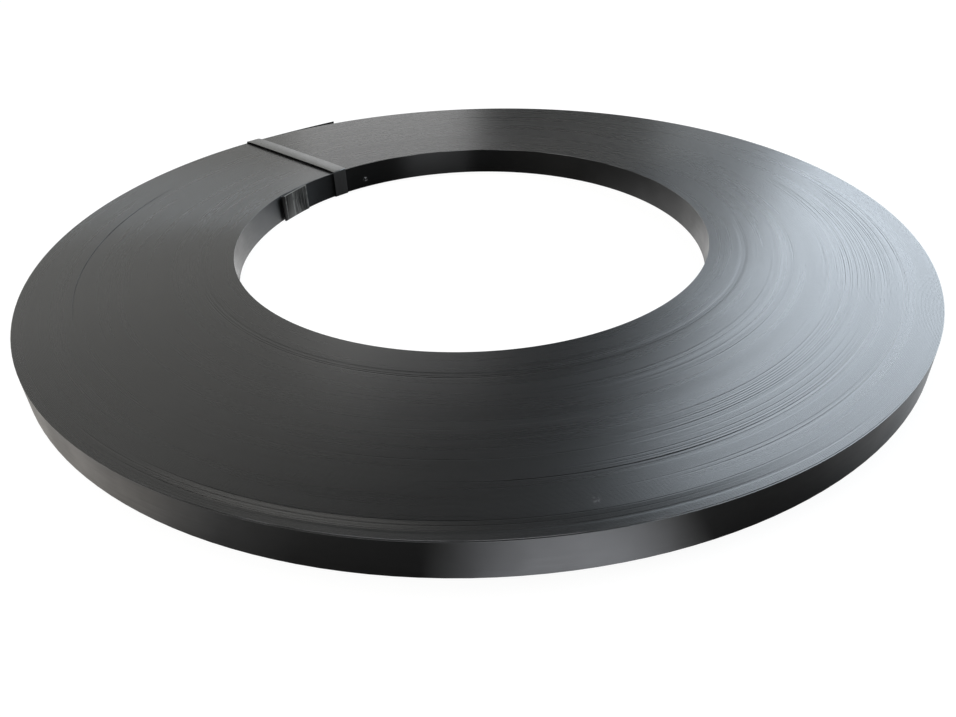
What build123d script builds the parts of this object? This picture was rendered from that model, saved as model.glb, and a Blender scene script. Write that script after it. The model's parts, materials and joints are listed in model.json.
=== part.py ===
"""A roll of steel strapping: one flat steel strip wound into a disc and held by one steel tie.

Millimetres, +Z up. The origin lies on the axis of the roll, on the floor that the roll lies on.
The tie crosses the roll on the +Y side, and its lower run lies between the roll and the floor.
Angles are in degrees from the middle of the tie, anticlockwise as seen from above. From its
folded inner end the strip runs clockwise and outwards.
"""

import os
from math import ceil, cos, degrees, pi, radians, sin, sqrt

from build123d import *

# The strip and its winding
strap_width = 25.4
strap_thickness = 0.8
core_diameter = 406.4
turns = 200
turn_gap = 0.02

# Relief of the two ends, where the edges of the turns show in bands
band_turns = 8
band_play = 0.35
band_rhythm = 2.3
seam_width = 0.7
seam_depth = 0.5

# The inner end, folded back on itself against the wall of the bore
fold_angle = 22.3
fold_length = 36.0
fold_spring = 0.15
fold_drop = 0.4
hollow_depth = 1.5
hollow_length = 70.0

# The outer end, which springs away from the roll beyond the tie
tail_length = 96.0
tail_spring = 8.0

# The tie, a thinner and narrower strap, and the crimped seal that closes it on the outer wall
tie_width = 16.0
tie_thickness = 0.5
tie_bore_gap = 0.25
tie_top_gap = 0.1
tie_bow = 1.6
tie_corner_radius = 0.8
tie_lap_length = 22.0
seal_length = 20.0
seal_wall = 0.8
seal_gap = 0.1
crimp_width = 3.0
crimp_depth = 0.4
crimp_spacing = 9.0

# Worked out from the sizes above
turn_pitch = strap_thickness + turn_gap
bore_radius = core_diameter / 2
roll_radius = bore_radius + turns * turn_pitch
roll_bottom = tie_thickness
roll_top = roll_bottom + strap_width
bands = ceil(turns / band_turns)
bite = strap_thickness / 2


def around(radius, angle):
    """The point at this radius, this many degrees anticlockwise from the tie."""
    return -radius * sin(radians(angle)), radius * cos(radians(angle))


def arc_angle(length, radius):
    """The angle that this length of arc takes up at this radius."""
    return degrees(length / radius)


def band_rise(band):
    """How far the turns of one band have slipped upwards; the first and the last lie flat."""
    share = band / max(bands - 1, 1)
    return band_play * abs(sin(band_rhythm * band)) * sin(pi * share)


def end_points(level, inwards):
    """One end of the roll from bore to rim: flat bands with a narrow seam between neighbours."""
    points = []
    for band in range(bands):
        inner = bore_radius + band * band_turns * turn_pitch
        height = level + band_rise(band)
        points.append((inner, height))
        if band == bands - 1:
            points.append((roll_radius, height))
        else:
            outer = inner + band_turns * turn_pitch
            points.append((outer - seam_width, height))
            points.append((outer - seam_width / 2, height + inwards * seam_depth))
    return points


# The wound strip is one turned disc with its bore
with BuildPart() as strap_coil:
    with BuildSketch(Plane.XZ):
        with BuildLine():
            upper_end = end_points(roll_top, -1)
            lower_end = end_points(roll_bottom, 1)
            Polyline(*upper_end, *reversed(lower_end), close=True)
        make_face()
    revolve(axis=Axis.Z)

    # The hollow in the wall of the bore, where the next turn climbs over the fold
    hollow_end = fold_angle + arc_angle(hollow_length, bore_radius)
    hollow_middle = (fold_angle + hollow_end) / 2
    hollow_start_wall = around(bore_radius + hollow_depth, fold_angle)
    hollow_middle_wall = around(bore_radius + hollow_depth / 3, hollow_middle)
    hollow_end_wall = around(bore_radius, hollow_end)
    with BuildSketch(Plane.XY):
        with BuildLine():
            ThreePointArc(hollow_start_wall, hollow_middle_wall, hollow_end_wall)
            Polyline(hollow_end_wall, around(bore_radius / 2, hollow_middle), hollow_start_wall)
        make_face()
    extrude(amount=2 * roll_top, mode=Mode.SUBTRACT)

    # The folded inner end: a rounded nose, and the flap that lies over the first turn
    fold_end = fold_angle - arc_angle(fold_length, bore_radius)
    fold_middle = (fold_angle + fold_end) / 2
    nose_radius = strap_thickness + fold_spring / 2
    nose_centre = around(bore_radius + strap_thickness - nose_radius, fold_angle)
    flap_face = bore_radius - strap_thickness
    wall_depth = bore_radius + bite
    with BuildSketch(Plane.XY.offset(roll_bottom)):
        with BuildLine():
            wall_side = ThreePointArc(
                around(wall_depth, fold_angle),
                around(wall_depth, fold_middle),
                around(wall_depth, fold_end),
            )
            bore_side = ThreePointArc(
                around(flap_face - fold_spring, fold_angle),
                around(flap_face - fold_spring / 2, fold_middle),
                around(flap_face, fold_end),
            )
            Line(wall_side @ 0, bore_side @ 0)
            Line(wall_side @ 1, bore_side @ 1)
        make_face()
        with Locations(nose_centre):
            Circle(nose_radius)
    extrude(amount=strap_width - fold_drop)

    # The outer end: a tail that leaves the roll at the tie and springs outwards to its cut tip
    tail_root = -arc_angle(tie_width / 2, roll_radius)
    tail_tip = tail_root - arc_angle(tail_length, roll_radius)

    def tail_point(share, depth):
        """A point of the tail, this far inside its outer face; share runs from root to tip."""
        spring = tail_spring * share**2 - bite * (1 - share) ** 2
        return around(roll_radius + spring - depth, tail_root + share * (tail_tip - tail_root))

    with BuildSketch(Plane.XY.offset(roll_bottom)):
        with BuildLine():
            outer_face = ThreePointArc(*[tail_point(share, 0) for share in (0, 0.5, 1)])
            inner_face = ThreePointArc(
                *[tail_point(share, strap_thickness) for share in (0, 0.5, 1)]
            )
            Line(outer_face @ 0, inner_face @ 0)
            Line(outer_face @ 1, inner_face @ 1)
        make_face()
    extrude(amount=strap_width)
strap_coil.part.label = "strap_coil"


# The tie is one closed loop round the section of the roll, with its ends lapped at the seal
tie_bore_face = sqrt(bore_radius**2 - (tie_width / 2) ** 2) - tie_bore_gap
tie_outer_face = roll_radius + seal_gap + seal_wall + seal_gap
tie_top_face = roll_top + band_play + tie_top_gap
seal_middle = roll_bottom + strap_width / 2
lap_face = tie_outer_face + tie_thickness

with BuildPart() as tie_band:
    with BuildSketch(Plane.YZ):
        with BuildLine():
            shoulder = tie_top_face - tie_corner_radius
            bore_run = Line((tie_bore_face, roll_bottom), (tie_bore_face, shoulder))
            bore_bend = RadiusArc(
                bore_run @ 1,
                (tie_bore_face + tie_corner_radius, tie_top_face),
                tie_corner_radius,
            )
            outer_run = Line((tie_outer_face, roll_bottom), (tie_outer_face, shoulder))
            outer_bend = RadiusArc(
                outer_run @ 1,
                (tie_outer_face - tie_corner_radius, tie_top_face),
                -tie_corner_radius,
            )
            ThreePointArc(
                bore_bend @ 1,
                ((tie_bore_face + tie_outer_face) / 2, tie_top_face + tie_bow),
                outer_bend @ 1,
            )
            Line(bore_run @ 0, outer_run @ 0)
        inside = make_face()
        offset(amount=tie_thickness)
        add(inside, mode=Mode.SUBTRACT)
        with Locations((lap_face + tie_thickness / 2, seal_middle)):
            Rectangle(tie_thickness, tie_lap_length)
    extrude(amount=tie_width / 2, both=True)
tie_band.part.label = "tie_band"


# The seal is a flat sleeve pressed over the lap, with two crimps across its outer face
sleeve_width = tie_width + 2 * seal_gap
sleeve_depth = 2 * tie_thickness + 2 * seal_gap
sleeve_middle = (0, lap_face)
seal_front = lap_face + sleeve_depth / 2 + seal_wall
crimp_radius = (crimp_width**2 / 4 + crimp_depth**2) / (2 * crimp_depth)

with BuildPart() as tie_seal:
    with BuildSketch(Plane.XY.offset(seal_middle)):
        with Locations(sleeve_middle):
            Rectangle(sleeve_width + 2 * seal_wall, sleeve_depth + 2 * seal_wall)
            Rectangle(sleeve_width, sleeve_depth, mode=Mode.SUBTRACT)
    extrude(amount=seal_length / 2, both=True)
    fillet(tie_seal.edges().filter_by(Axis.Z).group_by(Axis.Y)[-1], seal_wall)
    with BuildSketch(Plane.YZ):
        crimp_axis = seal_front + crimp_radius - crimp_depth
        for side in (-1, 1):
            with Locations((crimp_axis, seal_middle + side * crimp_spacing / 2)):
                Circle(crimp_radius)
    extrude(amount=tie_width, both=True, mode=Mode.SUBTRACT)
tie_seal.part.label = "tie_seal"


os.makedirs("parts", exist_ok=True)
export_step(strap_coil.part, "parts/strap_coil.step")
export_step(tie_band.part, "parts/tie_band.step")
export_step(tie_seal.part, "parts/tie_seal.step")
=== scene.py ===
# %% [markdown]
# # A roll of steel strapping
#
# The real object is one steel strip, about as wide as a thumb, wound two hundred times round
# an open centre and held by a single steel tie. Seen from above, almost all that shows is the
# edges of the turns, so this lesson models the strip itself: one rounded section, copied for
# each turn and spun into rings, which are then wound into a true spiral. A disc with circles
# painted on it would be quicker, but it would look flat as soon as the light grazes it.
#
# The measured model comes first. It is the fixed frame, and every size below starts from it.

# %% Load the measured model
import json
import math

import bpy
import numpy as np
from mathutils import Matrix, Vector


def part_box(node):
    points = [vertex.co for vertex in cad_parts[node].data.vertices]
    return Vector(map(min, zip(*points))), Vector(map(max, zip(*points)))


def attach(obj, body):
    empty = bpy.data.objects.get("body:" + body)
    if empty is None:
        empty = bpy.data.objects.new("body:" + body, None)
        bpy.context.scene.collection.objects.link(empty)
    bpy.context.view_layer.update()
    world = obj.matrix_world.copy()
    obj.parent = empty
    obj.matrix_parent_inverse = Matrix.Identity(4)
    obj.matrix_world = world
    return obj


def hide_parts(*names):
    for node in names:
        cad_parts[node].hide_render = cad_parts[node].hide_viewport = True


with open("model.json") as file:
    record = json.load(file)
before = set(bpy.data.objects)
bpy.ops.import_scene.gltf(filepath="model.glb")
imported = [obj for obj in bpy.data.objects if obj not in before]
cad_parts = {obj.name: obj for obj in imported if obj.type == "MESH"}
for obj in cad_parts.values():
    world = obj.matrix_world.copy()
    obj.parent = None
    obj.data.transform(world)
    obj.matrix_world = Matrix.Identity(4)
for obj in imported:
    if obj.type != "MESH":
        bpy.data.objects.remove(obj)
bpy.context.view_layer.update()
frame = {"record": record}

# %% [markdown]
# The strapping has a few driving sizes. The radius of the bore and the width of the strap come
# from the record's mount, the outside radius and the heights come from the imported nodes, and
# the gauge of the strap is the one value that only this script needs.

# %% Read the driving sizes
mm = 0.001
bore_mount = next(m for m in frame["record"]["mounts"] if m["name"] == "bore")
bore_radius = bore_mount["dims"]["r_mm"] * mm
strap_width = bore_mount["dims"]["length_mm"] * mm
coil_low, coil_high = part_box("strap_coil")
roll_radius = coil_high.x
roll_bottom = coil_low.z
roll_top = roll_bottom + strap_width
roll_middle = (roll_bottom + roll_top) / 2

strap_thickness = 0.8 * mm
turn_pitch = 0.82 * mm
turns = round((roll_radius - bore_radius) / turn_pitch)
print("turns", turns, "bore", bore_radius, "outside", round(roll_radius, 4))

# %% [markdown]
# Angles are easiest to think about from the tie, which crosses the roll on the +Y side, and
# anticlockwise as seen from above. The strip starts at its folded inner end, a little
# anticlockwise of the tie, and winds clockwise and outwards. Its outer end leaves the roll at
# the tie, which holds it down.

# %% Angles and places round the roll
full_circle = 2 * math.pi
quarter = math.pi / 2
tie_width = 16 * mm
fold_angle = math.radians(22.3)
tail_root = -tie_width / 2 / roll_radius
print("strip starts and leaves at", [round(math.degrees(a), 2) for a in (fold_angle, tail_root)])

# %% [markdown]
# Blender's operators act on whatever is selected, and the loaded model leaves its nodes
# selected. These small helpers keep that under control: one clears the selection, one selects
# a single piece, and the last welds, closes and shades a finished piece. Two more read and
# write all the points of a mesh at once, which is far quicker than one after another.

# %% Helpers for selecting and finishing
weld_reach = 0.002 * mm
smooth_below = math.radians(35)


def clear_selection():
    if bpy.context.mode != "OBJECT":
        bpy.ops.object.mode_set(mode="OBJECT")
    bpy.ops.object.select_all(action="DESELECT")


def only(piece):
    clear_selection()
    piece.select_set(True)
    bpy.context.view_layer.objects.active = piece


def read_points(piece):
    points = np.empty(len(piece.data.vertices) * 3)
    piece.data.vertices.foreach_get("co", points)
    return points.reshape(-1, 3)


def write_points(piece, points):
    piece.data.vertices.foreach_set("co", np.ascontiguousarray(points).ravel())
    piece.data.update()


def apply_modifiers(piece):
    only(piece)
    for modifier in list(piece.modifiers):
        bpy.ops.object.modifier_apply(modifier=modifier.name)


def triangles(piece):
    return sum(len(face.vertices) - 2 for face in piece.data.polygons)


def close_and_shade(piece):
    """Welds doubled points, closes open ends, turns faces outwards and shades by angle."""
    only(piece)
    bpy.ops.object.mode_set(mode="EDIT")
    bpy.ops.mesh.select_all(action="SELECT")
    bpy.ops.mesh.remove_doubles(threshold=weld_reach)
    bpy.ops.mesh.fill_holes(sides=0)
    bpy.ops.mesh.select_all(action="SELECT")
    bpy.ops.mesh.normals_make_consistent(inside=False)
    bpy.ops.object.mode_set(mode="OBJECT")
    bpy.ops.object.shade_smooth_by_angle(angle=smooth_below)
    print(piece.name, triangles(piece), "triangles")


# %% [markdown]
# ## The strip
#
# A section across the strap is a tall thin rectangle whose corners were rounded as the strip
# was slit. A plain rectangle would be simpler, but then no edge of a turn would catch the light.
# So a plane is resized in edit mode, has its corners bevelled, and loses its face, and what is
# left is the outline that will be spun.

# %% Model the outline of the strap
edge_round = 0.05 * mm


def add_outline(name, inner_radius):
    """The outline of the strap in edit mode, standing on the +X side at this radius."""
    clear_selection()
    bpy.ops.mesh.primitive_plane_add(size=1, rotation=(quarter, 0, 0))
    outline = bpy.context.object
    outline.name = name
    outline.data.name = name
    bpy.ops.object.transform_apply(rotation=True)
    bpy.ops.object.mode_set(mode="EDIT")
    bpy.ops.mesh.select_all(action="SELECT")
    bpy.ops.transform.resize(value=(strap_thickness, 1, strap_width))
    bpy.ops.mesh.bevel(offset=edge_round, segments=1, affect="VERTICES")
    bpy.ops.mesh.select_all(action="SELECT")
    middle = inner_radius + strap_thickness / 2
    bpy.ops.transform.translate(value=(middle, 0, roll_middle))
    bpy.ops.mesh.delete(type="ONLY_FACE")
    bpy.ops.mesh.select_all(action="SELECT")
    return outline


# %% [markdown]
# A curve with a bevel could draw the whole spiral at once, but its section can't be made to slip
# and lean from turn to turn. So the Array modifier copies the outline once for each turn, one
# pitch apart, and the spin operator sweeps all the copies round the axis at once. It stops a
# hair short of the full circle, so that the start and the end of each ring can still be told
# apart. It counts a positive angle clockwise, which is the way this strip winds.

# %% Spin a group of turns into rings
ring_steps = 180
spun_angle = math.radians(359.9)


def turn_to_fold(piece):
    """Turns a mesh that was started on the +X side round to where the strip starts."""
    bpy.ops.object.mode_set(mode="OBJECT")
    only(piece)
    piece.rotation_euler.z = fold_angle + quarter
    bpy.ops.object.transform_apply(rotation=True)


def add_rings(name, first_turn, count):
    rings = add_outline(name, bore_radius + first_turn * turn_pitch)
    bpy.ops.object.mode_set(mode="OBJECT")
    copies = rings.modifiers.new("one outline per turn", "ARRAY")
    copies.use_relative_offset = False
    copies.use_constant_offset = True
    copies.constant_offset_displace = (turn_pitch, 0, 0)
    copies.count = count
    apply_modifiers(rings)
    bpy.ops.object.mode_set(mode="EDIT")
    bpy.ops.mesh.select_all(action="SELECT")
    bpy.ops.mesh.spin(steps=ring_steps, angle=spun_angle, center=(0, 0, 0), axis=(0, 0, 1))
    turn_to_fold(rings)
    return rings


# %% [markdown]
# The inner end of the real strip is folded back on itself. Extruding it step by step would need
# every place worked out. Two spins do the same: half a turn round the middle of the nose, and
# then a short arc round the axis of the roll for the flap that lies against the first turn.

# %% Spin the folded inner end
fold_length = 36 * mm
fold_spring = 0.45 * mm
nose_steps = 10
flap_steps = 72


def add_fold():
    fold = add_outline("fold", bore_radius)
    gap = strap_thickness + fold_spring
    nose_middle = bore_radius + (strap_thickness - gap) / 2
    bpy.ops.mesh.spin(
        steps=nose_steps, angle=-math.pi, center=(nose_middle, 0, 0), axis=(0, 0, 1)
    )
    flap_angle = fold_length / bore_radius
    bpy.ops.mesh.spin(steps=flap_steps, angle=flap_angle, center=(0, 0, 0), axis=(0, 0, 1))
    turn_to_fold(fold)
    return fold


# %% [markdown]
# The outer end of the strip runs under the tie and on to its cut tip. It could be part of the
# last ring, but that ring is cut off at the fold like the others, so the outer end is one more
# spin, from where the last whole turn ends. It is sprung outwards once it is wound.

# %% Spin the outer end
tail_length = 96 * mm
tail_spring = 8 * mm
tail_steps = 40


def add_tail():
    tail = add_outline("tail", bore_radius + (turns - 1) * turn_pitch)
    tail_angle = fold_angle - tail_root + tail_length / roll_radius
    bpy.ops.mesh.spin(steps=tail_steps, angle=tail_angle, center=(0, 0, 0), axis=(0, 0, 1))
    turn_to_fold(tail)
    return tail


# %% [markdown]
# ## The winding
#
# The rings still have to become one spiral. No operator and no modifier moves a point by the
# turn that it belongs to, so the winding is worked out in code. The strip also wanders: its
# turns stand a little higher or lower than one another and lean a little. Both are drawn at
# random at a few knots on each turn, and are joined up between them. The seed is fixed, so that
# every run gives the same roll.

# %% Draw the slips and leans of the strip
hair = 1e-6
slip_level = 0.24 * mm
slip_most = 0.35 * mm
slip_least = -0.35 * mm
slip_size = 0.005 * mm
lean_size = math.radians(0.12)
knots_per_turn = 5

random_numbers = np.random.default_rng(26)
knots = np.arange((turns + 1) * knots_per_turn) / knots_per_turn
slip_knots = slip_size * random_numbers.normal(0, 1, len(knots))
lean_knots = lean_size * random_numbers.normal(0, 1, len(knots))
print("knots", len(knots), "largest slip in mm", round(abs(slip_knots).max() / mm, 3))

# %% [markdown]
# On the real roll some groups of turns have sunk, or tilt, or stand unevenly, over part of the
# way round. They draw the dark and light circles on its face. A random draw alone would spread
# such circles evenly, so the groups are listed. Each entry is a radius in millimetres, the angles
# in degrees where the group starts and ends, a size, and how many turns it takes in. The size is
# the depth in millimetres of a sunk group, the angle in degrees by which the edges of a tilted
# group face inwards, and for an uneven group the most that any of them does.

# %% List the groups of turns that stand out
sunk_groups = [
    (230, 228, 57, 0.22, 7), (259, 220, 150, 0.16, 20), (266.6, 227, 164, 0.25, 1),
    (283, 158, 126, 0.1, 4), (289, 222, 181, 0.26, 2), (306.5, 218, 155, 0.26, 26),
    (302.5, 222, 184, 0.34, 1), (308.7, 157, 115, 0.15, 1), (325, 222, 150, 0.24, 16),
    (326, 202, 130, 0.34, 1), (341, 217, 155, 0.22, 6), (341.8, 224, 152, 0.34, 1),
    (321, 240, 195, 0.2, 56), (324.5, 80, 23, 0.55, 2), (327, -36, -95, 0.3, 1),
    (254, 90, 40, 0.06, 5), (356.5, 172, 100, 0.25, 9), (360.6, 180, 108, 0.3, 1),
    (365.6, 188, 100, 0.35, 1),
]
tilted_groups = [
    (363.6, 192, 100, 4.5, 5), (356.5, 178, 96, -5.5, 8), (367.2, 175, 90, -6, 1),
    (232.5, 220, 60, 0.9, 2), (227, 226, 60, -0.7, 3), (279, 226, 150, 0.35, 14),
    (316, 230, 150, -0.4, 12), (350, 232, 150, 0.4, 10), (367, 62, 12, -8, 2),
]
uneven_groups = [
    (230, 228, 60, 1.1, 5), (258, 218, 150, 1.3, 18), (279, 226, 165, 0.8, 10),
    (306, 222, 150, 1.7, 26), (325, 224, 150, 1.7, 16), (339, 224, 145, 1.4, 10),
    (357, 190, 100, 1.2, 12),
]
print("groups", len(sunk_groups) + len(tilted_groups) + len(uneven_groups))

# %% [markdown]
# A group is easiest to find by how many turns the strip has made since its start, a number that
# grows all the way along it. Each turn of a larger group starts and ends a little off its
# neighbours, and only some turns of a sunk group have sunk, because groups with straight ends
# would look drawn with a ruler.

# %% Place the groups along the strip
odds_of_sinking = 0.45
least_share_sunk = 0.6
ragged_end = 10
small_group = 2


def wound_at(radius, angle):
    """How many turns the strip has made where it passes this radius and angle."""
    travelled = ((fold_angle - angle) % full_circle) / full_circle
    return round((radius - bore_radius) / turn_pitch - travelled) + travelled


def turns_of(groups):
    """Every turn of each group, as where along the strip it starts and ends, and its size."""
    found = []
    for radius, start, end, size, count in groups:
        for turn in range(count):
            off = random_numbers.uniform(-ragged_end, ragged_end) if count > small_group else 0
            place_in = radius * mm + (turn - (count - 1) / 2) * turn_pitch
            begins = wound_at(place_in, math.radians(start + off))
            found.append((begins, begins + (start - end) / 360, size, count))
    return found


sunk = [
    (begins, ends, random_numbers.uniform(least_share_sunk, 1) * depth * mm)
    for begins, ends, depth, count in turns_of(sunk_groups)
    if count <= small_group or random_numbers.uniform() < odds_of_sinking
]
tilted = [
    (begins, ends, math.radians(degrees))
    for begins, ends, degrees, _ in turns_of(tilted_groups)
]
tilted += [
    (begins, ends, math.radians(degrees) * random_numbers.uniform(-1, 1))
    for begins, ends, degrees, _ in turns_of(uneven_groups)
]
print("sunk turns", len(sunk), "tilted turns", len(tilted))

# %% [markdown]
# Now the strip can say how it stands anywhere along its length: the drawn slip, less the depth
# of each sunk group, faded in and out at its ends, and the same for its lean. The first turn
# also sits lower where the folded flap lies over it.

# %% Say how the strip stands
fade_turns = 0.03
sunk_behind_flap = 0.5 * mm
flap_turns = 0.028


def fades(wound, begins, ends):
    return np.clip(np.minimum(wound - begins, ends - wound) / fade_turns, 0, 1)


def slip_at(wound):
    """How high the strip stands after this many turns."""
    slip = slip_level + np.interp(wound, knots, slip_knots)
    slip = slip - sunk_behind_flap * np.clip(1.6 - wound / flap_turns, 0, 1)
    for begins, ends, depth in sunk:
        slip = slip - depth * fades(wound, begins, ends)
    return np.clip(slip, slip_least, slip_most)


def lean_at(wound):
    """How far the strip leans from upright after this many turns."""
    lean = np.interp(wound, knots, lean_knots)
    for begins, ends, tilt in tilted:
        lean = lean + tilt * fades(wound, begins, ends)
    return lean


def stand(wound, across):
    """The rise of a point of the strip, which has slipped and leans, by its place across it."""
    return slip_at(wound) + across * np.tan(lean_at(wound))


print("rise halfway in mm", round(float(slip_at(turns / 2)) / mm, 3))

# %% [markdown]
# Winding moves each point of the rings outwards by one pitch for each turn travelled, so that
# the end of every ring meets the start of the next. Each turn also has to climb over the fold,
# which leaves a shallow hollow in the wall of the bore beside it. The hollow fades out along
# the strip and from turn to turn.

# %% Wind the rings into a spiral
ring_tolerance = 0.01
hollow_depth = 1.2 * mm
hollow_before_fold = 70 * mm
hollow_past_fold = 40 * mm
hollow_reach = 25 * mm


def polar(points):
    """Radius and angle of each point, the angle anticlockwise from the tie."""
    return np.hypot(points[:, 0], points[:, 1]), np.arctan2(-points[:, 0], points[:, 1])


def place(points, radius, angle, rise):
    points[:, 0] = -radius * np.sin(angle)
    points[:, 1] = radius * np.cos(angle)
    points[:, 2] += rise


def wind(rings):
    points = read_points(rings)
    radius, angle = polar(points)
    travelled = np.mod(fold_angle - angle + hair, full_circle) / spun_angle
    turn = np.floor((radius - bore_radius) / turn_pitch + ring_tolerance)
    across = radius - bore_radius - turn * turn_pitch - strap_thickness / 2
    past_fold = travelled * full_circle * bore_radius
    before_fold = (1 - travelled) * full_circle * bore_radius
    near_fold = np.clip(1 - before_fold / hollow_before_fold, 0, 1) ** 2
    near_fold += np.where(turn > 0, np.clip(1 - past_fold / hollow_past_fold, 0, 1) ** 2, 0)
    hollow = hollow_depth * near_fold * np.exp(-(turn + travelled) * turn_pitch / hollow_reach)
    radius = radius + travelled * turn_pitch + hollow
    place(points, radius, fold_angle - full_circle * travelled, stand(turn + travelled, across))
    write_points(rings, points)


# %% [markdown]
# The outer end is wound in the same way. Past the tie nothing holds it down, so it springs away
# from the roll. Turning it off straight would leave a corner at the tie, so its distance grows
# with the square of the way from there to its cut tip.

# %% Spring the outer end
def spring_tail(tail):
    """The last stretch of the strip, with the part beyond the tie sprung out to its tip."""
    points = read_points(tail)
    radius, angle = polar(points)
    travelled = (fold_angle - angle) / full_circle
    across = radius - bore_radius - (turns - 1) * turn_pitch - strap_thickness / 2
    share = np.clip((tail_root - angle) * roll_radius / tail_length, 0, 1)
    radius = radius + travelled * turn_pitch + tail_spring * share**2
    place(points, radius, angle, stand(turns - 1 + travelled, across))
    write_points(tail, points)


# %% [markdown]
# The flap of the real roll looks folded by hand. It is kinked once, creased beyond the kink,
# hangs a little lower than the turns, and leans off the wall along its top near the nose. It
# could be sculpted, but then no measure of it could be changed, so each point is moved by how
# far along the flap it is and how high.

# %% Crease and settle the folded flap
bend_at = 14.5 * mm
bend_depth = 0.3 * mm
crease_gap = 2.7 * mm
crease_depth = 0.09 * mm
crease_slant = 30 * mm
flap_rise = -0.42 * mm
flap_sag = 0.06 * mm
flap_lean = 0.7 * mm


def settle_fold(fold):
    """The flap is kinked and creased, lies back against the bore and hangs a little askew."""
    points = read_points(fold)
    radius, angle = polar(points)
    run = np.maximum((fold_angle - angle) * bore_radius, 0)
    along = np.clip(run / fold_length, 0, 1)
    flap = radius < bore_radius - fold_spring / 2
    kink = bend_depth * np.clip(1 - np.abs(run - bend_at) / bend_at, 0, 1)
    creased = np.clip(run / bend_at - 1, 0, 1) * np.clip(4 - 4 * along, 0, 1)
    phase = run / crease_gap * full_circle + points[:, 2] / crease_slant
    crease = crease_depth * creased * np.sin(phase)
    across = radius - bore_radius - strap_thickness / 2
    rise = np.where(flap, flap_rise - flap_sag * along, stand(0.0, across))
    height = np.clip((points[:, 2] - roll_bottom) / strap_width, 0, 1)
    off_wall = flap_lean * height * (1 - along) * np.where(flap, 1, 0.5)
    radius = np.where(flap, radius + fold_spring * along - kink - crease, radius)
    radius = np.where(radius < bore_radius - hair, radius - off_wall, radius)
    place(points, radius, angle, rise)
    write_points(fold, points)


# %% [markdown]
# One mesh for the whole strip would be very heavy, so it is made in four pieces of about fifty
# turns each. The fold joins the first piece and the outer end joins the last. Welding then makes
# each piece one unbroken strip, and filling its open ends gives it its cuts.

# %% Make the strip in four pieces
def join_into(piece, part):
    only(piece)
    part.select_set(True)
    bpy.context.view_layer.objects.active = piece
    bpy.ops.object.join()


def add_turns(first_turn, last_turn):
    name = f"turns_{first_turn + 1}_to_{last_turn}"
    piece = add_rings(name, first_turn, last_turn - first_turn)
    wind(piece)
    return piece


pieces_of_strip = 4
turns_per_piece = turns // pieces_of_strip
strip = []
for part in range(pieces_of_strip):
    first_turn = part * turns_per_piece
    last_turn = first_turn + turns_per_piece
    if part == pieces_of_strip - 1:
        last_turn = turns - 1
    piece = add_turns(first_turn, last_turn)
    if part == 0:
        fold = add_fold()
        settle_fold(fold)
        join_into(piece, fold)
    if part == pieces_of_strip - 1:
        tail = add_tail()
        spring_tail(tail)
        join_into(piece, tail)
    close_and_shade(piece)
    strip.append(piece)


# %% [markdown]
# ## The tie
#
# The tie is a thinner and narrower strap drawn tight round the section of the roll, and its
# ends lap on the outer wall. The measured tie runs square across. The real one is a little
# askew, so here its places at the bore and at the rim are off the middle by two small skews,
# and the measured tie gives the rest of its route.

# %% Measure the route of the tie
tie_low, tie_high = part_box("tie_band")
seal_low, seal_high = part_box("tie_seal")
tie_thickness = 0.5 * mm
tie_bow = 0.7 * mm
tie_bend = 1.05 * mm
tie_floor_bend = 0.4 * mm
tie_skew = 2.1 * mm
tie_rim_skew = 5.6 * mm
tie_bore_y = tie_low.y + tie_thickness / 2
tie_outer_y = tie_high.y - 1.5 * tie_thickness
tie_shoulder_z = tie_high.z - tie_bow - tie_thickness / 2
tie_floor_z = tie_low.z + tie_thickness / 2
seal_middle_z = (seal_low.z + seal_high.z) / 2
lap_overhang = 1 * mm
lap_low_z = seal_low.z - lap_overhang
lap_high_z = seal_high.z + lap_overhang
print("tie runs from y", round(tie_bore_y, 4), "to", round(tie_outer_y, 4))

# %% [markdown]
# A curve could follow the route too, but a flat section twists and pinches at its corners. So
# an edge as wide as the tie is extruded along the straight runs and spun round the corners: from
# the hidden end in the seal up the outer wall, over the top, down the bore, back under the roll
# and up over itself. The run over the top rises quickly at its ends and is nearly flat between.

# %% Model the run of the tie
crown_steps = 40
crown_power = 10


def run_on(x, y, z, steps=1):
    """Extrudes the leading edge of the tie by this much, in equal steps."""
    for _ in range(steps):
        bpy.ops.mesh.extrude_region_move(
            TRANSFORM_OT_translate={"value": (x / steps, y / steps, z / steps)}
        )


def turn_corner(y, z, steps=6, angle=quarter):
    bpy.ops.mesh.spin(steps=steps, angle=angle, center=(0, y, z), axis=(1, 0, 0))


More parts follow.
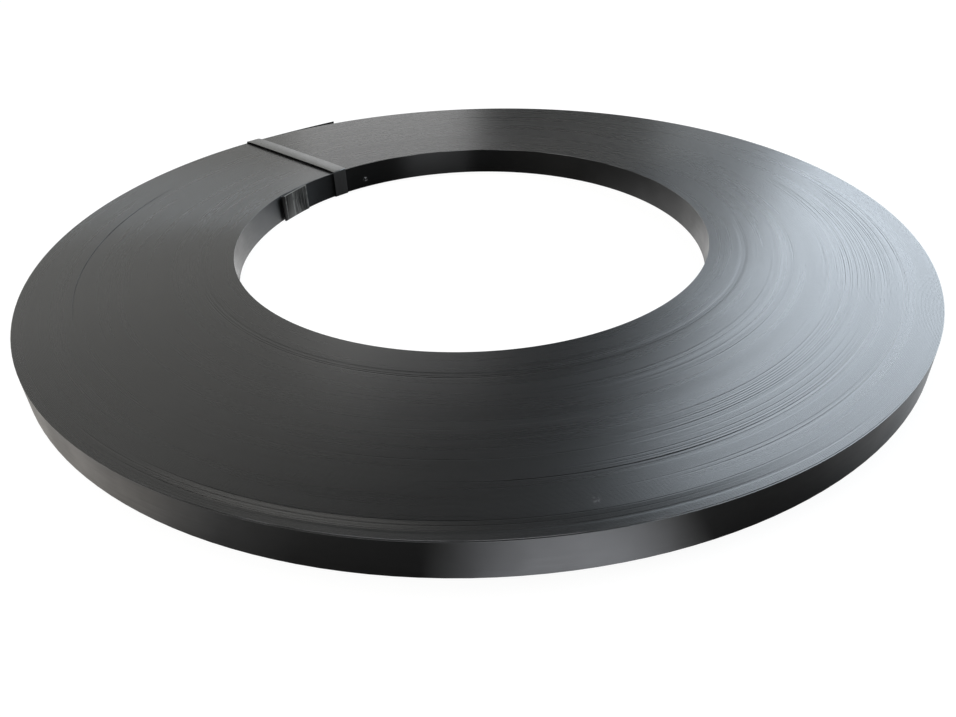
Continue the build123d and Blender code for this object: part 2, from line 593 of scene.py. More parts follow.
def add_tie():
    clear_selection()
    bpy.ops.mesh.primitive_plane_add(size=1)
    tie = bpy.context.object
    tie.name = "tie"
    tie.data.name = "tie"
    bpy.ops.object.mode_set(mode="EDIT")
    bpy.ops.mesh.select_all(action="SELECT")
    bpy.ops.transform.resize(value=(tie_width, 0, 0))
    bpy.ops.transform.translate(value=(-tie_rim_skew, tie_outer_y, lap_low_z))
    bpy.ops.mesh.remove_doubles(threshold=5 * weld_reach)
    bpy.ops.mesh.select_all(action="SELECT")
    run_on(0, 0, tie_shoulder_z - tie_bend - lap_low_z, steps=8)
    turn_corner(tie_outer_y - tie_bend, tie_shoulder_z - tie_bend, angle=-quarter)
    start_y = tie_outer_y - tie_bend
    end_y = tie_bore_y + tie_bend
    for step in range(crown_steps):
        shares = (step / crown_steps, (step + 1) / crown_steps)
        rise = [1 - (2 * share - 1) ** crown_power for share in shares]
        run_on(
            (tie_rim_skew + tie_skew) / crown_steps,
            (end_y - start_y) / crown_steps,
            tie_bow * (rise[1] - rise[0]),
        )
    turn_corner(end_y, tie_shoulder_z - tie_bend, angle=-quarter)
    run_on(0, 0, tie_floor_z + tie_floor_bend - (tie_shoulder_z - tie_bend), steps=8)
    turn_corner(tie_bore_y + tie_floor_bend, tie_floor_z + tie_floor_bend, angle=-quarter)
    outer_layer_y = tie_outer_y + tie_thickness
    run_on(-tie_rim_skew - tie_skew, outer_layer_y - tie_bore_y - 2 * tie_floor_bend, 0, steps=16)
    turn_corner(outer_layer_y - tie_floor_bend, tie_floor_z + tie_floor_bend, angle=-quarter)
    run_on(0, 0, lap_high_z - tie_floor_z - tie_floor_bend, steps=8)
    bpy.ops.object.mode_set(mode="OBJECT")
    return tie


# %% [markdown]
# The run still has no thickness. It could be drawn as a closed section from the start, but
# Solidify gives it an even gauge round every corner, and Bevel then rounds its rolled edges. On
# the real roll the tie stands off the wall of the bore along one of its edges, and the dark gap
# there shows from afar, so that run is tilted last.

# %% Give the tie its gauge and tilt
tie_tilt = 1.3 * mm
tilt_starts_above = 4 * mm
rolled_round = 0.12 * mm
play = 0.02 * mm


def give_gauge(piece, thickness):
    gauge = piece.modifiers.new("gauge", "SOLIDIFY")
    gauge.thickness = thickness
    gauge.offset = 0
    rounded = piece.modifiers.new("rounded edges", "BEVEL")
    rounded.width = rolled_round
    rounded.segments = 2
    rounded.angle_limit = math.radians(60)
    apply_modifiers(piece)


def tilt_bore_run(tie):
    """The run down the bore stands off the wall along its anticlockwise edge."""
    points = read_points(tie)
    in_bore = np.clip((tie_bore_y + 1.5 * tie_thickness - points[:, 1]) / tie_thickness, 0, 1)
    share = np.clip((tie_skew + tie_width / 2 - points[:, 0]) / tie_width, 0, 1)
    from_floor = np.clip((points[:, 2] - tie_floor_z) / tilt_starts_above, 0, 1)
    points[:, 1] -= tie_tilt * in_bore * share * from_floor
    write_points(tie, points)


tie = add_tie()
give_gauge(tie, tie_thickness - play)
tilt_bore_run(tie)
close_and_shade(tie)
print("tie in mm", (np.ptp(read_points(tie), axis=0) / mm).round(2))

# %% [markdown]
# ## The seal
#
# The seal is a short sleeve of sheet steel pressed round the two layers of the tie. A cube with
# a hole cut through it would do, but an outline keeps the wall even and leaves clean rows of
# faces for the crimps. So a plane with rounded corners loses its face and is extruded up the tie
# in small steps.

# %% Model the sleeve of the seal
seal_wall = 0.76 * mm
seal_steps = 40
seal_corner = 0.6 * mm


def add_seal():
    clear_selection()
    bpy.ops.mesh.primitive_plane_add(size=1)
    seal = bpy.context.object
    seal.name = "seal"
    seal.data.name = "seal"
    bpy.ops.object.mode_set(mode="EDIT")
    bpy.ops.mesh.select_all(action="SELECT")
    width = seal_high.x - seal_low.x - seal_wall
    depth = seal_high.y - seal_low.y - seal_wall
    bpy.ops.transform.resize(value=(width, depth, 1))
    bpy.ops.mesh.bevel(offset=seal_corner, segments=4, affect="VERTICES")
    bpy.ops.mesh.select_all(action="SELECT")
    middle_y = (seal_low.y + seal_high.y) / 2
    bpy.ops.transform.translate(value=(-tie_rim_skew, middle_y, seal_low.z + play))
    bpy.ops.mesh.delete(type="ONLY_FACE")
    bpy.ops.mesh.select_all(action="SELECT")
    run_on(0, 0, seal_high.z - seal_low.z - 2 * play, steps=seal_steps)
    bpy.ops.object.mode_set(mode="OBJECT")
    return seal


seal = add_seal()
give_gauge(seal, seal_wall)
print("sleeve", triangles(seal), "triangles")

# %% [markdown]
# The sleeve grips because a tool has crimped it twice. Cutting two grooves into it would leave
# its sides straight, but pressed sheet also draws in at the sides. So its points are moved: the
# outer face goes in by the depth of the crimp, and the sides by the smaller waist.

# %% Press the crimps into the seal
crimp_spacing = 9 * mm
crimp_width = 3.2 * mm
crimp_depth = 0.38 * mm
crimp_waist = 0.3 * mm
crimp_softness = 1.5


def press_crimps(seal):
    points = read_points(seal)
    from_middle = np.abs(points[:, 2] - seal_middle_z)
    across = (from_middle - crimp_spacing / 2) / (crimp_width / 2)
    press = np.clip(1 - across**2, 0, 1) ** crimp_softness
    outer_face = points[:, 1] > seal_high.y - 0.6 * seal_wall
    points[:, 1] -= np.where(outer_face, crimp_depth * press, 0)
    from_centre = points[:, 0] + tie_rim_skew
    side = np.abs(from_centre) > (seal_high.x - seal_low.x) / 2 - 0.6 * seal_wall
    points[:, 0] -= np.where(side, np.sign(from_centre) * crimp_waist * press, 0)
    write_points(seal, points)


press_crimps(seal)
close_and_shade(seal)
print("seal in mm", (np.ptp(read_points(seal), axis=0) / mm).round(2))

# %% [markdown]
# Each new piece belongs to a body of the measured model and takes the place of one of its nodes.
# Nothing on this roll moves, so all of them ride on the one body.

# %% Ride on the measured model
for piece in strip:
    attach(piece, "root")
    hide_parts("strap_coil")
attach(tie, "root")
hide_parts("tie_band")
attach(seal, "root")
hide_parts("tie_seal")
print("pieces", len(strip) + 2)

# %% [markdown]
# ## The finishes
#
# Every finish is a material made of nodes. A picture of steel could be wrapped round each piece
# instead, but it would smear along a strip this long, so the patterns are worked out from the
# place on the piece. That place is read as Object coordinates, which stay put when the piece is
# exported. The first helpers start a material and read a place on the piece.

# %% Helpers for starting a material
def new_material(name):
    """A new material, with its node tree and the shader in it."""
    material = bpy.data.materials.new(name)
    material.use_nodes = True
    tree = material.node_tree
    return material, tree, tree.nodes["Principled BSDF"]


def object_place(tree):
    return tree.nodes.new("ShaderNodeTexCoord").outputs["Object"]


def split(tree, vector):
    """The X, Y and Z of a vector, each by its name."""
    parts = tree.nodes.new("ShaderNodeSeparateXYZ")
    tree.links.new(vector, parts.inputs[0])
    return parts.outputs


# %% [markdown]
# Nodes can be joined by hand in the shader editor, but a graph of fifty nodes is hard to read
# there. Here one line says what is done to a value. Noise lies round one half, so the first two
# numbers of a spread say how much of it is let through, and the last two what it turns into.

# %% Helpers for values and colours
def spread(tree, value, low, high, out_low, out_high):
    """Maps a value from one range to another, and holds it at the ends."""
    ranged = tree.nodes.new("ShaderNodeMapRange")
    ranged.inputs["From Min"].default_value = low
    ranged.inputs["From Max"].default_value = high
    ranged.inputs["To Min"].default_value = out_low
    ranged.inputs["To Max"].default_value = out_high
    tree.links.new(value, ranged.inputs["Value"])
    return ranged.outputs["Result"]


def combine(tree, first, second, operation):
    """Puts two values together, each of them a number or another node's value."""
    node = tree.nodes.new("ShaderNodeMath")
    node.operation = operation
    for socket, value in zip(node.inputs, (first, second)):
        if isinstance(value, (int, float)):
            socket.default_value = value
        else:
            tree.links.new(value, socket)
    return node.outputs[0]


def blend_colours(tree, amount, first, second):
    """Mixes two colours, each of them a tuple or another node's colour."""
    mix = tree.nodes.new("ShaderNodeMix")
    mix.data_type = "RGBA"
    tree.links.new(amount, mix.inputs["Factor"])
    for socket, colour in zip((mix.inputs[6], mix.inputs[7]), (first, second)):
        if isinstance(colour, tuple):
            socket.default_value = (*colour, 1)
        else:
            tree.links.new(colour, socket)
    return mix.outputs[2]


# %% [markdown]
# Rolling and winding leave marks that run along the strip. A wave texture could draw them, but
# its lines come out even, and real ones are not. Noise is uneven, and it turns into streaks when
# it is drawn out: here it reads the direction from the axis, which changes slowly round the
# roll, together with the radius or the height, which changes quickly across the strip.

# %% Helpers for noise drawn out along the strip
def vector_step(tree, operation, vector, other=None):
    """One step of vector arithmetic. The other value is a vector, a scale or a socket."""
    step = tree.nodes.new("ShaderNodeVectorMath")
    step.operation = operation
    tree.links.new(vector, step.inputs[0])
    second = step.inputs["Scale" if operation == "SCALE" else 1]
    if isinstance(other, bpy.types.NodeSocket):
        tree.links.new(other, second)
    elif other is not None:
        second.default_value = other
    return step.outputs["Value" if operation in ("LENGTH", "DISTANCE") else "Vector"]


def noise(tree, vector, scale, detail):
    texture = tree.nodes.new("ShaderNodeTexNoise")
    texture.inputs["Scale"].default_value = scale
    texture.inputs["Detail"].default_value = detail
    tree.links.new(vector, texture.inputs["Vector"])
    return texture.outputs["Fac"]


def patchy_noise(tree, scale, detail=4.0):
    return noise(tree, object_place(tree), scale, detail)


def drawn_noise(tree, run_scale, cross_size, cross="radius", detail=3.0):
    """Noise drawn out along the strip: slow round the roll, quick along its radius or height."""
    place_in = object_place(tree)
    flat = vector_step(tree, "MULTIPLY", place_in, (1, 1, 0))
    direction = vector_step(tree, "NORMALIZE", flat)
    stretched = vector_step(tree, "SCALE", direction, run_scale)
    if cross == "radius":
        across = vector_step(tree, "LENGTH", flat)
    else:
        across = split(tree, place_in)["Z"]
    upward = tree.nodes.new("ShaderNodeCombineXYZ")
    tree.links.new(combine(tree, across, 1 / cross_size, "MULTIPLY"), upward.inputs["Z"])
    joined = vector_step(tree, "ADD", stretched, upward.outputs[0])
    return noise(tree, joined, 1, detail)


# %% [markdown]
# Handling leaves small scuffs, and rolling leaves the faintest relief. A scuff could be a dab of
# paint on the mesh, but that needs far more points than the strip has, so it is a place with a
# reach, broken up by fine noise. The relief is a Bump node, which is enough at a hundredth of a
# millimetre, where real geometry would cost a great deal and show nothing more.

# %% Helpers for scuffs and relief
mark_reach = 3 * mm
mark_core = 0.4
bump_strength = 0.5


def rubbed_mark(tree, spot):
    """A small scuff at this place: 1 in its middle and 0 beyond its reach."""
    away = vector_step(tree, "DISTANCE", object_place(tree), spot)
    near = spread(tree, away, mark_core * mark_reach, mark_reach, 1, 0)
    grain = spread(tree, patchy_noise(tree, 700), 0.45, 0.6, 0, 1)
    return combine(tree, near, grain, "MULTIPLY")


def add_bump(tree, shader, height, depth):
    bump = tree.nodes.new("ShaderNodeBump")
    bump.inputs["Strength"].default_value = bump_strength
    bump.inputs["Distance"].default_value = depth
    tree.links.new(height, bump.inputs["Height"])
    tree.links.new(bump.outputs[0], shader.inputs["Normal"])


# %% [markdown]
# ### Slit edges
#
# The edges of the turns make up the whole upper face. Their thin black coat carries a faint grey
# streak on each turn. The face could be painted grey, as it looks in the photograph, but it
# looks grey only because it mirrors the light: it is dark on the left and pale towards the
# window. So its colour stays nearly black, and the gloss does the rest, with small changes of
# roughness from turn to turn. One small scuff is where the real roll has it.

# %% Finish the slit edges
edge_black = (0.009, 0.009, 0.009)
edge_streak = (0.0125, 0.0125, 0.0125)
edge_scuff = (0.09, 0.09, 0.09)
edge_scuff_spot = (-0.1894, -0.2906, roll_top)

slit_edge, tree, shader = new_material("slit_edge")
shader.inputs["Specular IOR Level"].default_value = 0.7
streak = drawn_noise(tree, 1.6, 0.7 * mm)
broad = drawn_noise(tree, 1.1, 9 * mm, detail=2.0)
patch = patchy_noise(tree, 14)
paler_share = combine(tree, spread(tree, streak, 0.35, 0.75, 0, 1),
                 spread(tree, patch, 0.3, 0.7, 0.5, 1), "MULTIPLY")
colour = blend_colours(tree, paler_share, edge_black, edge_streak)
colour = blend_colours(tree, rubbed_mark(tree, edge_scuff_spot), colour, edge_scuff)
tree.links.new(colour, shader.inputs["Base Color"])
fine_gloss = spread(tree, streak, 0.3, 0.7, -0.005, 0.005)
broad_gloss = spread(tree, broad, 0.3, 0.7, 0.265, 0.295)
tree.links.new(combine(tree, fine_gloss, broad_gloss, "ADD"), shader.inputs["Roughness"])
print("slit edges:", len(tree.nodes), "nodes")

# %% [markdown]
# ### Rolled faces
#
# The faces of the strap show on the wall of the bore and on the outer wall. Rolling has drawn
# fine lines along them, and such lines smear a reflection upwards. Thousands of tiny grooves
# could do that, but the shader's own Anisotropic setting does the same, once its tangent is told
# to run round the axis. The upper edge is painted pale grey in patches, a painted highlight where
# the rim's edge would catch the light. The wall of the bore is less glossy than the outer wall,
# so the finish is made twice with its own gloss.

# %% Finish the rolled faces
face_black = (0.002, 0.002, 0.002)
face_line = (0.006, 0.006, 0.006)
face_edge_highlight = (0.25, 0.25, 0.255)
face_scuff = (0.3, 0.3, 0.3)
face_scuff_spot = (0.0332, 0.2005, 0.0095)
strip_top = roll_top + slip_level


def rolled_face_material(name, specular):
    material, tree, shader = new_material(name)
    shader.inputs["Specular IOR Level"].default_value = specular
    shader.inputs["Anisotropic"].default_value = 1.0
    shader.inputs["Anisotropic Rotation"].default_value = 0.25
    tangent = tree.nodes.new("ShaderNodeTangent")
    tangent.direction_type = "RADIAL"
    tangent.axis = "Z"
    tree.links.new(tangent.outputs[0], shader.inputs["Tangent"])
    lines = drawn_noise(tree, 14, 0.35 * mm, cross="height")
    patch = patchy_noise(tree, 30)
    colour = blend_colours(tree, spread(tree, lines, 0.3, 0.75, 0, 1), face_black, face_line)
    height = split(tree, object_place(tree))["Z"]
    # Painted highlight: the upper edge is painted pale grey in patches, where the rim's edge
    # would catch the light.
    paler_share = spread(tree, height, strip_top - 0.6 * mm, strip_top - 0.1 * mm, 0, 1)
    paler_share = combine(tree, paler_share, spread(tree, patch, 0.4, 0.6, 0.1, 0.9), "MULTIPLY")
    colour = blend_colours(tree, paler_share, colour, face_edge_highlight)
    colour = blend_colours(tree, rubbed_mark(tree, face_scuff_spot), colour, face_scuff)
    tree.links.new(colour, shader.inputs["Base Color"])
    fine_gloss = spread(tree, lines, 0.3, 0.7, -0.04, 0.04)
    broad_gloss = spread(tree, patch, 0.3, 0.7, 0.38, 0.46)
    tree.links.new(combine(tree, fine_gloss, broad_gloss, "ADD"), shader.inputs["Roughness"])
    return material


bore_face = rolled_face_material("bore_face", 0.28)
wall_face = rolled_face_material("wall_face", 0.6)
print("rolled faces:", bore_face.name, wall_face.name)

# %% [markdown]
# ### The folded end
#
# Folding has crazed the coat of the flap in upright streaks and worn it at the cut. The pale
# lines at the nose and at the kink are painted highlights, where those curves would catch the
# light, and the one at the kink is partly wear of the coat too. These could be drawn as separate
# stripes, but they all depend on one thing, the distance along the flap from the nose. So the
# nodes first work that out from the angle round the axis, and a small helper then draws a soft
# pale line at any distance.

# %% Measure the run along the flap
flap_shine_low, flap_shine_high = 0.05, 0.3

folded_face, tree, shader = new_material("folded_face")
parts = split(tree, object_place(tree))
leftward = combine(tree, parts["X"], -1, "MULTIPLY")
angle_here = combine(tree, leftward, parts["Y"], "ARCTAN2")
past_nose = combine(tree, fold_angle, angle_here, "SUBTRACT")
run = combine(tree, past_nose, bore_radius, "MULTIPLY")
# The gloss is low at the nose and rises along the flap, a painted shade that keeps the nose dark.
shine = spread(tree, run, 2 * mm, 13 * mm, flap_shine_low, flap_shine_high)
tree.links.new(shine, shader.inputs["Specular IOR Level"])


def pale_line(tree, run, at, core, reach, paling):
    """A soft upright pale line at this run along the flap, for painted highlights and wear."""
    off_line = combine(tree, combine(tree, run, at, "SUBTRACT"), 0, "ABSOLUTE")
    return spread(tree, off_line, core, reach, paling, 0)


print("the run goes from 0 to", round(fold_length / mm, 1), "mm, kinked at", bend_at / mm)

# %% [markdown]
# Now the wear and the painted highlights are put together. The streaks are noise drawn out
# upwards, which fade towards the cut and are weak before the kink. The pale lines are broken up
# by fine noise, because a line of even strength looks printed. The face before the kink pales a
# little towards it, a painted sheen, and the flap is paler along its top edge. All of it stays
# clear of the nose itself, which is left black, a painted shade together with its low gloss.

# %% Put the wear of the folded end together
nose_line_at = 3.2 * mm

crazing = drawn_noise(tree, bore_radius / (0.5 * mm), 22 * mm, cross="height")
fading = combine(tree, spread(tree, run, bend_at - mm, bend_at + mm, 0.25, 1),
                 spread(tree, run, fold_length / 2, fold_length, 1, 0.3), "MULTIPLY")
streaks = combine(tree, spread(tree, crazing, 0.5, 0.66, 0, 0.6), fading, "MULTIPLY")
# Painted highlights: a pale line at the crest of the nose, and one at the kink that is partly
# wear of the coat too.
kink_line = pale_line(tree, run, bend_at, 0.4 * mm, 1.9 * mm, 0.5)
nose_line = pale_line(tree, run, nose_line_at, 0.3 * mm, 1.0 * mm, 0.34)
cut_end = spread(tree, run, fold_length - 2.4 * mm, fold_length - 1.2 * mm, 0, 0.4)
pale_lines_and_cut = combine(tree, kink_line, nose_line, "MAXIMUM")
pale_lines_and_cut = combine(tree, pale_lines_and_cut, cut_end, "MAXIMUM")
uneven = spread(tree, patchy_noise(tree, 260), 0.35, 0.65, 0.35, 1)
wear_and_highlights = combine(tree, streaks, combine(tree, pale_lines_and_cut, uneven, "MULTIPLY"), "MAXIMUM")
# The face before the kink pales a little towards it: a painted sheen.
first_face = combine(tree, spread(tree, run, 5 * mm, bend_at, 0, 0.15),
                     spread(tree, run, bend_at, bend_at + mm, 1, 0), "MULTIPLY")
wear_and_highlights = combine(tree, wear_and_highlights, first_face, "MAXIMUM")
top_edge = spread(tree, parts["Z"], roll_top - 0.75 * mm, roll_top - 0.5 * mm, 0, 0.8)
wear_and_highlights = combine(tree, wear_and_highlights, top_edge, "MAXIMUM")
wear_and_highlights = combine(tree, wear_and_highlights, spread(tree, run, 1.4 * mm, 2.6 * mm, 0, 1), "MULTIPLY")
print("wear of the folded end:", len(tree.nodes), "nodes")

# %% [markdown]
# One number for the wear and the painted highlights then drives the colour and the roughness
# together, so that a worn streak is both paler and duller, as it is on the real flap, and so are
# the painted highlights. A crazed coat also stands up a little, which the bump shows.

# %% Finish the folded end
fold_black = (0.005, 0.005, 0.005)
fold_pale = (0.32, 0.32, 0.304)

tree.links.new(blend_colours(tree, wear_and_highlights, fold_black, fold_pale), shader.inputs["Base Color"])
tree.links.new(spread(tree, wear_and_highlights, 0, 1, 0.42, 0.55), shader.inputs["Roughness"])
add_bump(tree, shader, crazing, 0.04 * mm)
print("folded end:", len(tree.nodes), "nodes")

# %% [markdown]
# ### The tie
#
# The tie has a thin grey-black coat of its own. It is rubbed on top, where the roll was stacked,
# and it is paler in patches along its clockwise edge. Its upright edges are left darker than its
# top, a painted shadow line along them. A second material could be given to the top faces, but
# the change would then stop at an edge of the mesh. So the paling is worked out from the height,
# from which way the surface faces, and from the place across the tie, which runs a little askew.

# %% Measure the wear of the tie
tie_coat, tree, shader = new_material("tie_coat")
parts = split(tree, object_place(tree))
faces = split(tree, tree.nodes.new("ShaderNodeNewGeometry").outputs["Normal"])
# Only faces that point up are paled on top, so the upright edges of the tie stay dark: a painted
# shadow line along them.
on_top = combine(tree, spread(tree, parts["Z"], roll_top - mm, roll_top + mm, 0, 1),
                 spread(tree, faces["Z"], 0.3, 0.8, 0, 1), "MULTIPLY")
tie_slant = (tie_rim_skew + tie_skew) / (tie_outer_y - tie_bore_y)
aside = combine(tree, combine(tree, parts["Y"], tie_bore_y, "SUBTRACT"), tie_slant, "MULTIPLY")
across = combine(tree, combine(tree, parts["X"], aside, "ADD"), tie_skew, "SUBTRACT")
at_edge = spread(tree, across, 0.42 * tie_width, 0.5 * tie_width, 0, 1)
print("the tie slants by", round(math.degrees(math.atan(tie_slant)), 2), "degrees")

# %% [markdown]
# The paling is strongest on top and follows patchy noise along the clockwise edge, and a fine
# speckle breaks it up. The tie is glossier than it is pale: a pale colour would look right from
# the front and chalky from above, so most of its grey is left to the reflection.

# %% Finish the tie
tie_black = (0.014, 0.014, 0.014)
tie_pale = (0.13, 0.13, 0.127)

shader.inputs["Specular IOR Level"].default_value = 0.7
speckle = patchy_noise(tree, 900, 6.0)
tie_patches = patchy_noise(tree, 90)
edge_paling = combine(tree, at_edge, spread(tree, tie_patches, 0.4, 0.6, 0, 0.5), "MULTIPLY")
edge_paling = combine(tree, edge_paling, spread(tree, on_top, 0, 1, 0.3, 1), "MULTIPLY")
paling = combine(tree, combine(tree, on_top, 0.9, "MULTIPLY"), edge_paling, "ADD")
paling = combine(tree, paling, spread(tree, speckle, 0.38, 0.65, 0.4, 1), "MULTIPLY")
tree.links.new(blend_colours(tree, paling, tie_black, tie_pale), shader.inputs["Base Color"])
tree.links.new(spread(tree, tie_patches, 0.3, 0.7, 0.27, 0.34), shader.inputs["Roughness"])
add_bump(tree, shader, speckle, 0.01 * mm)
print("tie:", len(tree.nodes), "nodes")

# %% [markdown]
# ### The seal
#
# The seal is plain oiled sheet steel. The grey of a coat would look like plastic there, so it is
# a bare metal, which is all reflection. Its roughness follows faint upright lines, left by
# rolling the sheet, and duller patches where the oil has dried.

# %% Finish the seal
steel_dull = (0.2, 0.2, 0.205)
steel_clean = (0.4, 0.4, 0.41)

seal_steel, tree, shader = new_material("seal_steel")
shader.inputs["Metallic"].default_value = 1
rolled = drawn_noise(tree, roll_radius / (0.25 * mm), 8 * mm, cross="height")
dull = patchy_noise(tree, 160)
colour = blend_colours(tree, spread(tree, dull, 0.35, 0.65, 0, 1), steel_dull, steel_clean)
tree.links.new(colour, shader.inputs["Base Color"])
fine_gloss = spread(tree, rolled, 0.3, 0.7, -0.06, 0.06)
broad_gloss = spread(tree, dull, 0.35, 0.65, 0.48, 0.36)
tree.links.new(combine(tree, fine_gloss, broad_gloss, "ADD"), shader.inputs["Roughness"])
add_bump(tree, shader, rolled, 0.006 * mm)
print("seal:", len(tree.nodes), "nodes")

# %% [markdown]
# ### Which face has which finish
#
# The strip is one mesh, so its finishes are given face by face. They could be picked by hand in
# edit mode, but there are hundreds of thousands of faces, so a rule picks them: a face that
# points up or down is a slit edge, one that points away from the axis is outer wall, one that
# points to it is bore wall, and what lies inside the bore belongs to the flap.

# %% Give each face its finish
upright = 0.3
flap_side = bore_radius - fold_spring / 2
flap_end = fold_angle - fold_length / bore_radius
first_turn_reach = bore_radius + 0.95 * strap_thickness
edge_slot, wall_slot, bore_slot, fold_slot = range(4)


def finish_of(face):
    """The material slot for a face of the strip, by its place and where it points."""
    middle, normal = face.center, face.normal
    radius = math.hypot(middle.x, middle.y)
    angle = math.atan2(-middle.x, middle.y)
    if radius < flap_side and normal.z > -upright:
        return fold_slot
    if abs(normal.z) > upright:
        behind_flap = flap_end < angle < fold_angle and radius < first_turn_reach
        return bore_slot if behind_flap else edge_slot
    outward = normal.x * middle.x + normal.y * middle.y
    return wall_slot if outward > 0 else bore_slot


for piece in strip:
    for material in (slit_edge, wall_face, bore_face, folded_face):
        piece.data.materials.append(material)
    chosen = [finish_of(face) for face in piece.data.polygons]
    piece.data.polygons.foreach_set("material_index", chosen)
    print(piece.name, "faces by finish", [chosen.count(slot) for slot in range(4)])
tie.data.materials.append(tie_coat)
seal.data.materials.append(seal_steel)

# %% [markdown]
# ## Floor, lamps and camera
#
# The photograph was not taken square to the axes used so far, so everything that follows is
# given as it lies in the photograph, and is then turned about the axis of the roll.
#
# The upright walls mirror the floor next to them. A plain white floor would make them white all
# round, while the photographed walls go from nearly black to pale. So mirrored rays meet a floor
# that glows only in a few broad patches, the lit and unlit ground of the real place, and the
# camera still sees plain white. The patches lie on the floor and don't follow the camera.

# %% Lay the floor
photo_turn = math.radians(-42.8)
floor_size = 12
floor_white = (0.8, 0.8, 0.8, 1)

clear_selection()
bpy.ops.mesh.primitive_plane_add(size=floor_size)
floor = bpy.context.object
floor.name = "floor"
white_floor, tree, shader = new_material("white_floor")
shader.inputs["Base Color"].default_value = floor_white
shader.inputs["Roughness"].default_value = 0.8
floor.data.materials.append(white_floor)
print("floor", floor_size, "m wide")

# %% [markdown]
# Each patch is a spot on the floor with a core, where it is at its own strength, and a reach,
# where it has faded. Lamps shone at the floor could draw such patches too, but they would light
# the roll as well, so the patches are part of the floor's finish.

# %% Helper for patches on the floor
def floor_patch(tree, spot, core, reach, strength, beyond=0.0):
    """How strongly the floor glows round a spot, given as it lies in the photograph."""
    spot = Matrix.Rotation(photo_turn, 3, "Z") @ Vector((*spot, 0))
    away = vector_step(tree, "DISTANCE", object_place(tree), spot)
    return spread(tree, away, core, reach, strength, beyond)


# %% [markdown]
# The patches are put together one by one. The ground glows all round but for an unlit spot at
# the front. Two patches brighten the wall on the left, and a small bright one gives the front
# wall its highlight. Inside the roll all of this is damped but for a bright spot on the right,
# and one more on the left lights the wall of the bore beside the fold.

# %% Light up patches of the floor
unlit_strength = 0.08
ground_strength = 1.1
bore_strength = 0.12
bore_floor_edge = (0.25, 0.28)

glow_there = floor_patch(tree, (0.06, -0.42), 0.17, 0.33, unlit_strength, ground_strength)
glow_near_left = floor_patch(tree, (-0.28, -0.26), 0.1, 0.16, 0.65)
glow_far_left = floor_patch(tree, (-0.5, 0.0), 0.08, 0.24, 1.8)
glow_left = combine(tree, glow_near_left, glow_far_left, "MAXIMUM")
glow_there = combine(tree, glow_there, glow_left, "ADD")
glow_front = floor_patch(tree, (0.05, -0.39), 0.015, 0.085, 4.0)
glow_there = combine(tree, glow_there, glow_front, "MAXIMUM")
in_bore = floor_patch(tree, (0.2, 0.05), 0.05, 0.145, 2.2, bore_strength)
from_axis = vector_step(tree, "LENGTH", object_place(tree))
in_bore = combine(tree, in_bore, spread(tree, from_axis, *bore_floor_edge, 0, 1), "MAXIMUM")
glow_there = combine(tree, glow_there, in_bore, "MULTIPLY")
glow_bore_left = floor_patch(tree, (-0.19, 0.035), 0.055, 0.09, 3.2)
glow_there = combine(tree, glow_there, glow_bore_left, "MAXIMUM")
print("floor patches:", len(tree.nodes), "nodes")

# %% [markdown]
# A Light Path node tells the rays apart. Mirrored rays meet the patches, a little warm on the
# left and a little cool at the front, the camera meets white with some of the real floor mixed
# in, so that the roll keeps its shadow, and all other rays meet a plain pale floor.

# %% Finish the floor
ground_warm = (1, 0.955, 0.9)
ground_cool = (0.9, 0.93, 1)
white_to_camera = 1.15
share_to_camera = 0.8

seen_by = tree.nodes.new("ShaderNodeLightPath").outputs
mirrored = combine(tree, seen_by["Is Glossy Ray"], seen_by["Is Transmission Ray"], "MAXIMUM")
warmth = combine(tree, spread(tree, glow_left, 0, 0.65, 0, 1), mirrored, "MULTIPLY")
coolness = combine(tree, spread(tree, glow_front, 0, 2, 0, 1), mirrored, "MULTIPLY")
ground_colour = blend_colours(tree, warmth, (1, 1, 1), ground_warm)
ground_colour = blend_colours(tree, coolness, ground_colour, ground_cool)
camera_glow = combine(tree, seen_by["Is Camera Ray"], white_to_camera, "MULTIPLY")
mirrored_glow = combine(tree, mirrored, glow_there, "MULTIPLY")
strength = combine(tree, camera_glow, mirrored_glow, "MAXIMUM")
share = combine(tree, seen_by["Is Camera Ray"], share_to_camera, "MULTIPLY")
share = combine(tree, share, mirrored, "MAXIMUM")

glow = tree.nodes.new("ShaderNodeEmission")
mix = tree.nodes.new("ShaderNodeMixShader")
tree.links.new(ground_colour, glow.inputs["Color"])
tree.links.new(strength, glow.inputs["Strength"])
tree.links.new(share, mix.inputs[0])
tree.links.new(shader.outputs[0], mix.inputs[1])
tree.links.new(glow.outputs[0], mix.inputs[2])
tree.links.new(mix.outputs[0], tree.nodes["Material Output"].inputs["Surface"])
print("floor finish:", len(tree.nodes), "nodes")

# %% [markdown]
# The upper face mirrors what stands behind the roll, so the lamps stand where the photograph's
# face is bright: a large cool window at the right, its frame and the pale walls along the back,
# a warm ceiling, and a long low strip of light in front for the outer wall. Point lamps could
# light it too, but a glossy face would show each as a spot, so all of these are soft boxes. They
# are given by their bearing in the photograph, their height in degrees, and how bright their
# own surface is.

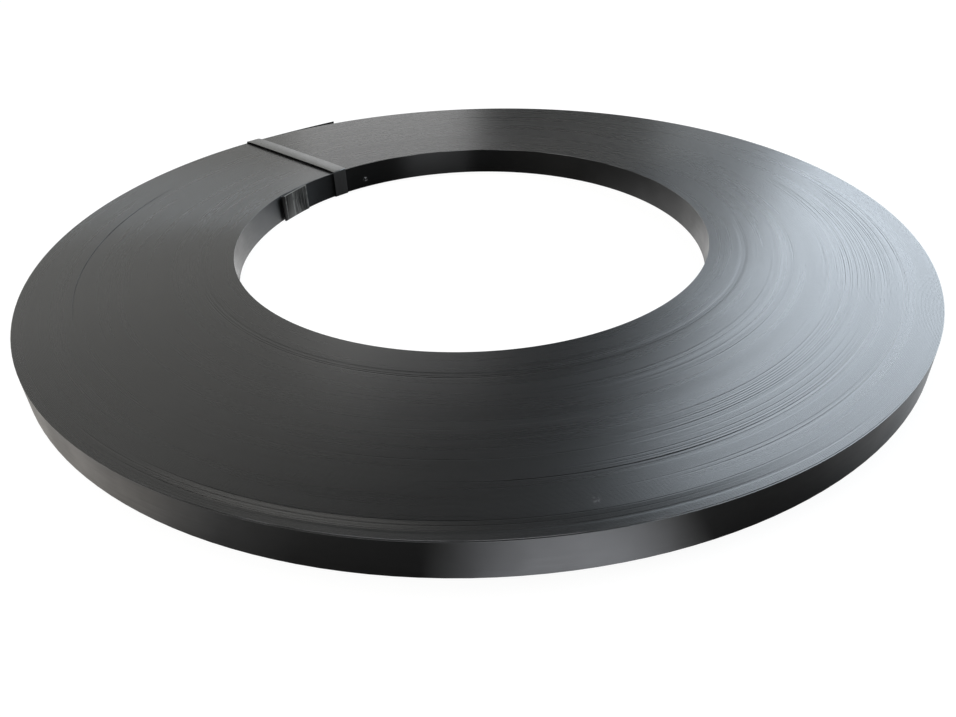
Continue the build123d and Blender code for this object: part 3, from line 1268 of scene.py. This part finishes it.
# %% Place the lamps
def add_softbox(name, azimuth, elevation, distance, size, radiance, colour=(1, 1, 1)):
    """A soft area lamp that looks at the roll, placed by its bearing in the photograph."""
    data = bpy.data.lights.new(name, "AREA")
    data.shape = "RECTANGLE"
    data.size, data.size_y = size
    data.energy = radiance * math.pi * size[0] * size[1]
    data.color = colour
    lamp = bpy.data.objects.new(name, data)
    bpy.context.scene.collection.objects.link(lamp)
    turn = math.radians(azimuth) + photo_turn
    tilt = math.radians(elevation)
    away = Vector((math.cos(turn) * math.cos(tilt), math.sin(turn) * math.cos(tilt),
                   math.sin(tilt)))
    lamp.location = away * distance
    lamp.rotation_mode = "QUATERNION"
    lamp.rotation_quaternion = away.to_track_quat("Z", "Y")
    lamp.visible_camera = False
    print("lamp", name, round(data.energy, 1), "W")


add_softbox("window", 38.0, 33.2, 4.0, (3.5, 2.5), 6.25, (0.8, 0.895, 0.99))
add_softbox("window_frame", 67.5, 22, 4.0, (0.75, 2.0), 0.7, (0.88, 0.95, 1.0))
add_softbox("back_wall", 96.9, 20, 4.0, (1.05, 2.4), 1.2)
add_softbox("left_wall", 121, 23.5, 4.0, (2.4, 2.8), 0.67, (1.0, 0.995, 0.95))
add_softbox("ceiling", 178, 64, 2.6, (2.0, 1.6), 3.8, (1.0, 0.985, 0.94))
add_softbox("front_box", -72, 3.6, 3.0, (1.9, 0.32), 28.0, (0.95, 0.97, 1.0))

# %% [markdown]
# The camera could be placed by eye, but a ring seen at a slant gives its place away: the four
# circles of its rims fix how high the camera stands, how far off, and how it is tilted. The
# numbers here fit those circles. The axes of the camera are built one after the other, from
# where it looks to what is upright for it, and are then turned as the lamps were.

# %% Place the camera
camera_height = 0.29955
camera_reach = 0.61615
camera_pitch = 0.5637
camera_yaw = 0.0184
camera_roll = -0.0450
lens_length = 28.318
shift_right = 0.0169
shift_up = -0.0237

level = math.cos(camera_pitch)
forward = Vector((-math.sin(camera_yaw) * level, math.cos(camera_yaw) * level,
                  -math.sin(camera_pitch)))
level_right = Vector((math.cos(camera_yaw), math.sin(camera_yaw), 0))
level_up = level_right.cross(forward)
right = math.cos(camera_roll) * level_right + math.sin(camera_roll) * level_up
up = -math.sin(camera_roll) * level_right + math.cos(camera_roll) * level_up
axes = Matrix((right, up, -forward)).transposed().to_4x4()
stand_point = Matrix.Translation((0, -camera_reach, camera_height))

lens = bpy.data.cameras.new("photo_camera")
lens.lens = lens_length
lens.shift_x = shift_right
lens.shift_y = shift_up
camera = bpy.data.objects.new("photo_camera", lens)
bpy.context.scene.collection.objects.link(camera)
camera.matrix_world = Matrix.Rotation(photo_turn, 4, "Z") @ stand_point @ axes
bpy.context.scene.camera = camera
print("camera at", [round(v, 3) for v in camera.matrix_world.translation])

# %% [markdown]
# Beyond the floor there is only the world. It is white to the camera, as the photograph's
# background is. To mirrored rays it stays nearly dark, because the back of the roll mirrors a
# dark room there, and a white world would wash it out. The Standard view shows colours as they
# are written.

# %% Set the world and the view
world_to_others = 0.05
world_to_camera = 1.0

world = bpy.data.worlds.new("studio")
bpy.context.scene.world = world
world.use_nodes = True
tree = world.node_tree
background = tree.nodes["Background"]
background.inputs["Color"].default_value = (1, 1, 1, 1)
camera_ray = tree.nodes.new("ShaderNodeLightPath").outputs["Is Camera Ray"]
world_strength = spread(tree, camera_ray, 0, 1, world_to_others, world_to_camera)
tree.links.new(world_strength, background.inputs["Strength"])
bpy.context.scene.view_settings.view_transform = "Standard"
print("world strength", world_to_others, "and", world_to_camera, "to the camera")
